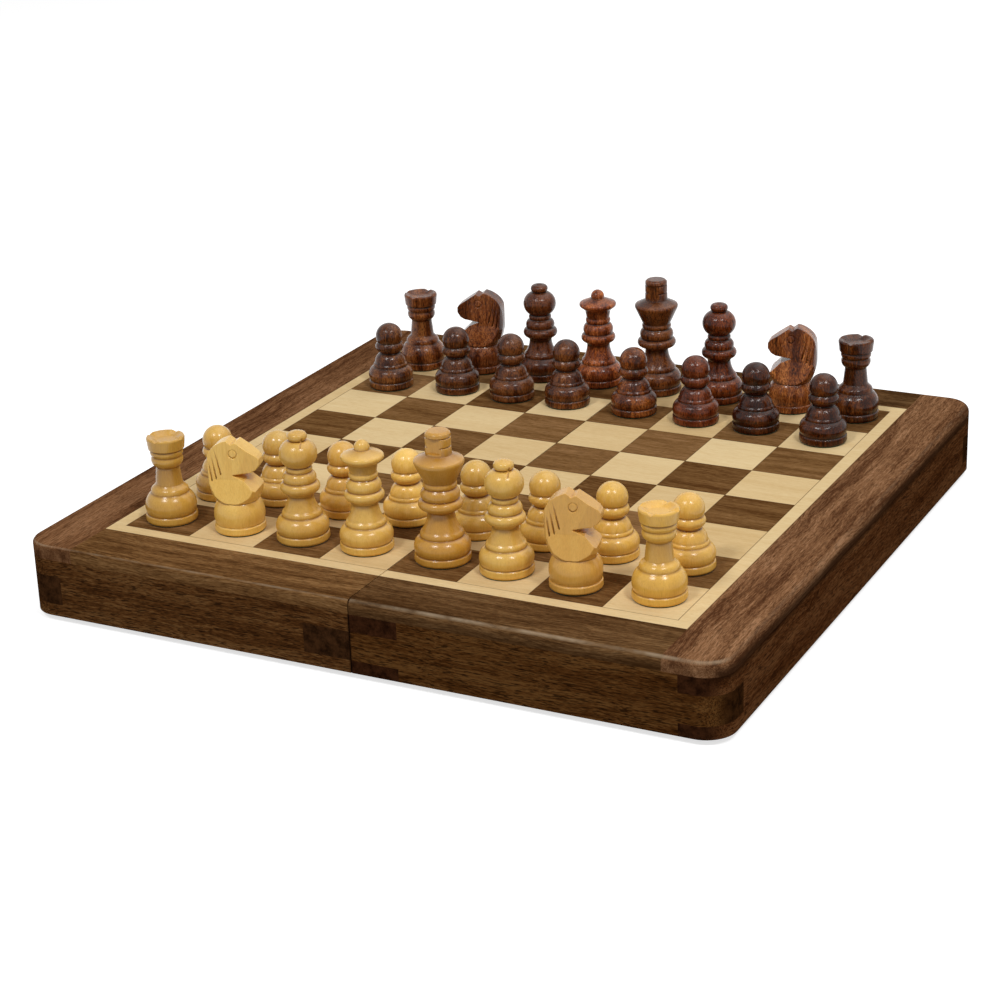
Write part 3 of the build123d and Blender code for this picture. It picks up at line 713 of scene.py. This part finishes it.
def wood(name, axis, tones, **changes):
    """Solid wood whose grain runs along one axis.

    tones are five colours: the darkest, the usual and the lightest growth, the pores and the end
    grain. changes may set: figure, streak and fibre, the contrast of the growth and of its finer
    lines; pore and dash, how dark and how long the pores are; end, how dark the end grain is;
    cells, a piece of veneer for each square; own, how much pieces differ; right, the right half's
    colour as a multiple of the left's; joint, the glue lines and the painted shade beside the seam,
    and joint_tone; band, how dark the band under the edge is; edge_highlight, how pale the painted
    highlight on the eased edge is; rough, gloss and bump; hollow, the painted shade in grooves,
    which also lets each object have a tone of its own."""
    look = {**USUAL_LOOK, **changes}
    material, tree, shader = new_material(name)
    coordinates = node(tree, "TexCoord").outputs
    normal = coordinates["Normal"]
    spot = scaled(tree, coordinates["Object"], 1 / MM)
    place, own = own_shift(tree, spot, "cells" in look)
    colour, pore, fibre = grain(tree, place, axis, own, tones, look)
    colour = end_grain(tree, place, normal, axis, colour, tones, look["end"])
    colour = marked(tree, colour, spot, normal, axis, tones, look)

    tree.links.new(colour, shader.inputs["Base Color"])
    tree.links.new(around(tree, fibre, ROUGH_SWING, look["rough"]), shader.inputs["Roughness"])
    shader.inputs["Specular IOR Level"].default_value = look["gloss"]
    height = maths(tree, "SUBTRACT", fibre, maths(tree, "MULTIPLY", pore, 0.5))
    raise_surface(tree, shader, height, look["bump"], RELIEF)
    return material


def felt(name, colour, light):
    """Short woollen felt."""
    material, tree, shader = new_material(name)
    place = scaled(tree, node(tree, "TexCoord").outputs["Object"], 1 / MM)
    tufts = noise(tree, place, *TUFTS)
    patterns = (tufts, noise(tree, place, *FELT_CLOUDS))
    parts = [maths(tree, "MULTIPLY", *part) for part in zip(patterns, FELT_SHARES)]
    shade = ramp(tree, maths(tree, "ADD", *parts), *zip(FELT_STOPS, (colour, light)))
    tree.links.new(shade, shader.inputs["Base Color"])
    for key, value in FELT_SURFACE.items():
        shader.inputs[key].default_value = value
    raise_surface(tree, shader, tufts, FELT_BUMP, FELT_RELIEF)
    return material


def metal(name, colour, dark, roughness):
    """Rolled or turned metal, a little tarnished."""
    material, tree, shader = new_material(name)
    place = scaled(tree, node(tree, "TexCoord").outputs["Object"], 1 / MM)
    shade = ramp(tree, noise(tree, place, *TARNISH), *zip(TARNISH_STOPS, (dark, colour)))
    lines = drawn_out(tree, place, "Y", BRUSHING)
    tree.links.new(shade, shader.inputs["Base Color"])
    shader.inputs["Metallic"].default_value = 1.0
    tree.links.new(around(tree, lines, BRUSHING_SWING, roughness), shader.inputs["Roughness"])
    return material


def tones_of(*colours):
    """A wood's tones: the darkest, the usual and the lightest growth, the pores and the end grain."""
    return [srgb(*colour) for colour in colours]


WALNUT = tones_of((58, 32, 13), (87, 54, 26), (114, 80, 46), (32, 17, 8), (68, 42, 23))
BORDER_X = tones_of((76, 48, 23), (116, 82, 48), (146, 110, 70), (50, 29, 12), (80, 52, 30))
BORDER_Y = tones_of((74, 44, 25), (117, 80, 52), (146, 106, 74), (48, 27, 14), (80, 52, 30))
DARK_VENEER = tones_of((84, 53, 25), (121, 87, 51), (148, 111, 73), (60, 35, 15), (60, 36, 20))
MAPLE = tones_of((204, 172, 120), (219, 191, 142), (228, 204, 157), (190, 154, 100), (190, 156, 106))
BIRCH = tones_of((168, 128, 84), (196, 158, 110), (216, 182, 136), (130, 92, 56), (140, 100, 62))
BOXWOOD = tones_of((202, 148, 60), (224, 174, 80), (238, 198, 104), (122, 68, 14), (206, 152, 66))
STAINED = tones_of((64, 23, 8), (122, 60, 27), (170, 98, 52), (28, 10, 4), (82, 39, 18))
JOINT_TONE = srgb(96, 68, 38)
# colour of the painted highlight on the eased edges
HIGHLIGHT_TONE = srgb(168, 148, 122)

# the rails get painted shade beside the seam
RAIL = {"figure": 1.1, "rough": 0.55, "end": 0.95, "joint": "seam"}
# the borders get a painted highlight on their eased edges
BORDER = {
    "figure": 1.3, "streak": 0.8, "fibre": 0.8, "pore": 0.5, "rough": 0.45, "joint": "frame",
    "edge_highlight": 0.65,
}
PALE = {
    "figure": 0.5, "streak": 0.4, "fibre": 0.4, "pore": 0.2, "bump": 0.05, "end": 0.0,
    "joint_tone": JOINT_TONE,
}
MATERIALS = {
    "rail_x": wood("walnut_rail_x", "X", WALNUT, **RAIL, fibre=1.1, pore=0.8,
                   right=(0.80, 0.74, 0.62)),
    "rail_y": wood("walnut_rail_y", "Y", WALNUT, **RAIL, fibre=1.0, pore=0.7, band=0.8,
                   right=(0.86, 0.74, 0.78)),
    "border_x": wood("walnut_border_x", "X", BORDER_X, **BORDER, end=0.15, band=0.4,
                     right=(0.76, 0.78, 0.84)),
    "border_y": wood("walnut_border_y", "Y", BORDER_Y, **BORDER, end=0.3, band=0.85,
                     right=(1.28, 1.36, 1.45)),
    "dark_veneer": wood("walnut_veneer", "X", DARK_VENEER, cells=True, own=0.35, streak=0.8,
                        fibre=0.6, pore=0.35, end=0.0, joint="squares"),
    "light_veneer": wood("maple_veneer", "X", MAPLE, **PALE, cells=True, own=0.35, joint="squares"),
    "stringing": wood("maple_stringing", "X", MAPLE, **PALE, joint="frame"),
    "plywood": wood("birch_plywood", "Y", BIRCH, pore=0.3, rough=0.7),
    "felt": felt("green_felt", srgb(14, 44, 26), srgb(30, 74, 44)),
    "steel": metal("steel", srgb(150, 150, 152), srgb(110, 110, 114), 0.4),
    "brass": metal("brass", srgb(214, 172, 92), srgb(160, 118, 56), 0.3),
    "magnet": metal("magnet", srgb(84, 84, 88), srgb(50, 50, 54), 0.45),
    "boxwood": wood("lacquered_boxwood", "Z", BOXWOOD, figure=0.35, streak=0.2, fibre=0.25,
                    pore=0.08, own=0.25, rough=0.23, gloss=0.45, bump=0.1, hollow=1.0, end=0.1),
    "rosewood": wood("stained_hardwood", "Z", STAINED, figure=1.5, streak=0.9, fibre=0.9, pore=0.7,
                     own=0.25, rough=0.17, gloss=0.25, hollow=1.0, end=0.2, dash=4),
}

# CAD node without its side's name, and the material that it gets
DRESS = {
    "side_rail": "rail_y",
    "end_rails": "rail_x",
    "hinge_rail": "rail_y",
    "panel_core": "plywood",
    "steel_sheet": "steel",
    "dark_squares": "dark_veneer",
    "light_squares": "light_veneer",
    "stringing": "stringing",
    "felt_lining": "felt",
    "pocket_dividers": "felt",
    "catch_magnets": "magnet",
    "hinge_leaves": "brass",
    "hinge_screws": "brass",
    "hinge_pins_and_screws": "brass",
}

# How a man's wood differs from the usual, as a multiple of its red, green and blue
MEN_TONES = {
    "white_king": (0.82, 0.74, 0.58),
    "white_rook_a": (0.84, 0.82, 0.74),
    "white_rook_h": (1.12, 1.14, 1.05),
    "white_knight_b": (1.12, 1.18, 1.32),
    "white_knight_g": (0.98, 0.94, 1.00),
    "white_bishop_c": (0.90, 0.88, 0.84),
    "white_bishop_f": (0.97, 0.96, 0.93),
    "white_pawn_a": (0.95, 0.95, 0.93),
    "white_pawn_b": (0.86, 0.87, 0.92),
    "white_pawn_d": (1.22, 1.30, 1.40),
    "white_pawn_e": (0.96, 1.02, 1.10),
    "white_pawn_f": (1.08, 1.18, 1.32),
    "white_pawn_g": (1.12, 1.21, 1.27),
    "white_pawn_h": (1.17, 1.23, 1.30),
    "black_king": (0.60, 0.61, 0.50),
    "black_queen": (1.62, 1.60, 1.45),
    "black_bishop_c": (0.42, 0.38, 0.34),
    "black_bishop_f": (0.92, 0.78, 0.58),
    "black_knight_b": (0.98, 1.08, 1.05),
    "black_knight_g": (1.45, 1.70, 1.55),
    "black_rook_a": (1.04, 1.20, 1.05),
    "black_rook_h": (0.68, 0.72, 0.45),
    "black_pawn_a": (0.72, 0.88, 0.72),
    "black_pawn_b": (0.52, 0.58, 0.48),
    "black_pawn_c": (0.50, 0.54, 0.50),
    "black_pawn_d": (0.62, 0.68, 0.56),
    "black_pawn_e": (1.02, 1.08, 0.78),
    "black_pawn_f": (0.58, 0.44, 0.40),
    "black_pawn_g": (0.40, 0.36, 0.24),
    "black_pawn_h": (0.44, 0.40, 0.24),
}


def dress_frame():
    """Gives every CAD part of the box its material; men are replaced later."""
    for name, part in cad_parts.items():
        rest = name.partition("_")[2]
        if rest in DRESS:
            part.data.materials.clear()
            part.data.materials.append(MATERIALS[DRESS[rest]])
        elif rest == "border_strips":
            dress_border(part)


def dress_border(part):
    """The outer strip's grain runs along Y, and that of the front and back strips along X."""
    mesh = part.data
    mesh.materials.clear()
    mesh.materials.append(MATERIALS["border_x"])
    mesh.materials.append(MATERIALS["border_y"])
    for face in mesh.polygons:
        face.material_index = int(abs(face.center.x) > (PANEL + EDGE_SLACK) * MM)


# ================================================================ the men in their places


def foot_of(name):
    """Middle, in metres, and radius, in millimetres, of the felt on which a man stands."""
    low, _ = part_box(name)
    resting = [v.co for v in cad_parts[name].data.vertices if v.co.z < low.z + FOOT_SLICE * MM]
    x_low, x_high = min(v.x for v in resting), max(v.x for v in resting)
    y_low, y_high = min(v.y for v in resting), max(v.y for v in resting)
    spot = Vector(((x_low + x_high) / 2, (y_low + y_high) / 2, low.z))
    return spot, (y_high - y_low) / 2 / MM


def add_man(name, kind):
    """A man on its felt, in the place of its CAD node."""
    low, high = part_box(name)
    spot, felt_r = foot_of(name)
    white = name.startswith("white")
    if kind == "knight":
        body = carved_man(name, spot)
    else:
        body = turned_man(name, kind, felt_r + FELT_INSET, (high.z - low.z) / MM)
        turn = BISHOP_TURN if kind == "bishop" else 0.0
        body.rotation_euler.z = radians(turn if white else turn + HALF_TURN)
    disc = new_piece(f"{name}_felt", lambda made: felt_disc(made, felt_r))
    wood_name = "boxwood" if white else "rosewood"
    body.color = (*MEN_TONES.get(name, (1, 1, 1)), 1)
    for piece, material, slot in ((body, wood_name, wood_name), (disc, "felt", "green_felt")):
        piece.data.materials.append(MATERIALS[material])
        piece.location = spot
        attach(piece, name)
    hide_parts(name)


def add_men():
    for name in sorted(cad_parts):
        kind = next((kind for kind in KINDS if f"_{kind}" in name), None)
        if kind:
            add_man(name, kind)


# ================================================================ studio


def add_camera():
    """The camera, and its directions to the side, up and back."""
    side = Vector((cos(CAMERA_AZIMUTH), sin(CAMERA_AZIMUTH), 0))
    back = Vector((
        sin(CAMERA_AZIMUTH) * cos(CAMERA_ELEVATION),
        -cos(CAMERA_AZIMUTH) * cos(CAMERA_ELEVATION),
        sin(CAMERA_ELEVATION),
    ))
    up = back.cross(side)
    rolled_side = side * cos(CAMERA_ROLL) + up * sin(CAMERA_ROLL)
    rolled_up = up * cos(CAMERA_ROLL) - side * sin(CAMERA_ROLL)
    data = bpy.data.cameras.new("camera")
    data.lens = CAMERA_LENS
    data.sensor_width = CAMERA_SENSOR
    data.clip_start, data.clip_end = CAMERA_CLIP
    camera = bpy.data.objects.new("camera", data)
    axes = Matrix((rolled_side, rolled_up, back)).transposed().to_4x4()
    camera.matrix_world = Matrix.Translation(CAMERA_TARGET + back * CAMERA_DISTANCE) @ axes
    bpy.context.scene.collection.objects.link(camera)
    bpy.context.scene.camera = camera
    return rolled_side, rolled_up, back


def add_softbox(name, direction, distance, size, power):
    """A square lamp that looks at the board from a direction."""
    data = bpy.data.lights.new(name, "AREA")
    data.shape = "SQUARE"
    data.size = size
    data.energy = power
    lamp = bpy.data.objects.new(name, data)
    direction = direction.normalized()
    lamp.location = direction * distance
    lamp.rotation_euler = direction.to_track_quat("Z", "Y").to_euler()
    bpy.context.scene.collection.objects.link(lamp)


def add_lights(side, up, back):
    for name, ((aside, above, behind), *lamp) in VIEW_LAMPS.items():
        add_softbox(name, aside * side + above * up + behind * back, *lamp)
    direction, *lamp = TOP_LAMP
    add_softbox("top_softbox", Vector(direction), *lamp)


def seen_plainly(tree):
    """1 for the rays that see the surroundings themselves: camera, reflections and glass."""
    path = node(tree, "LightPath").outputs
    mirrored = maths(tree, "MAXIMUM", path["Is Glossy Ray"], path["Is Transmission Ray"])
    return maths(tree, "MAXIMUM", path["Is Camera Ray"], mirrored)


def add_world():
    """Surroundings that light softly and look white."""
    world = bpy.data.worlds.new("studio")
    world.use_nodes = True
    tree = world.node_tree
    tree.nodes.clear()
    strength = maths(tree, "MULTIPLY_ADD", seen_plainly(tree), 1 - WORLD_LIGHT, WORLD_LIGHT)
    shade = node(tree, "Background", {"Color": grey(1), "Strength": strength})
    output = node(tree, "OutputWorld")
    tree.links.new(shade.outputs[0], output.inputs[0])
    bpy.context.scene.world = world


def add_floor():
    """A plain pale floor that keeps the object's shadow."""
    mesh = bpy.data.meshes.new("floor")
    corners = [(x * FLOOR_REACH, y * FLOOR_REACH, 0) for x, y in ((-1, -1), (1, -1), (1, 1), (-1, 1))]
    mesh.from_pydata(corners, [], [(0, 1, 2, 3)])
    floor = bpy.data.objects.new("floor", mesh)
    floor.location.z = cad_low.z - FLOOR_DROP * MM
    bpy.context.scene.collection.objects.link(floor)
    material, tree, shader = new_material("floor")
    shader.inputs["Base Color"].default_value = grey(FLOOR_TONE)
    shader.inputs["Roughness"].default_value = FLOOR_ROUGHNESS
    shader.inputs["Specular IOR Level"].default_value = 0.0
    shader.inputs["Emission Color"].default_value = grey(1)
    glow = maths(tree, "MULTIPLY", seen_plainly(tree), FLOOR_GLOW)
    tree.links.new(glow, shader.inputs["Emission Strength"])
    mesh.materials.append(material)


dress_frame()
add_men()
add_lights(*add_camera())
add_world()
add_floor()
bpy.context.scene.view_settings.view_transform = "Standard"
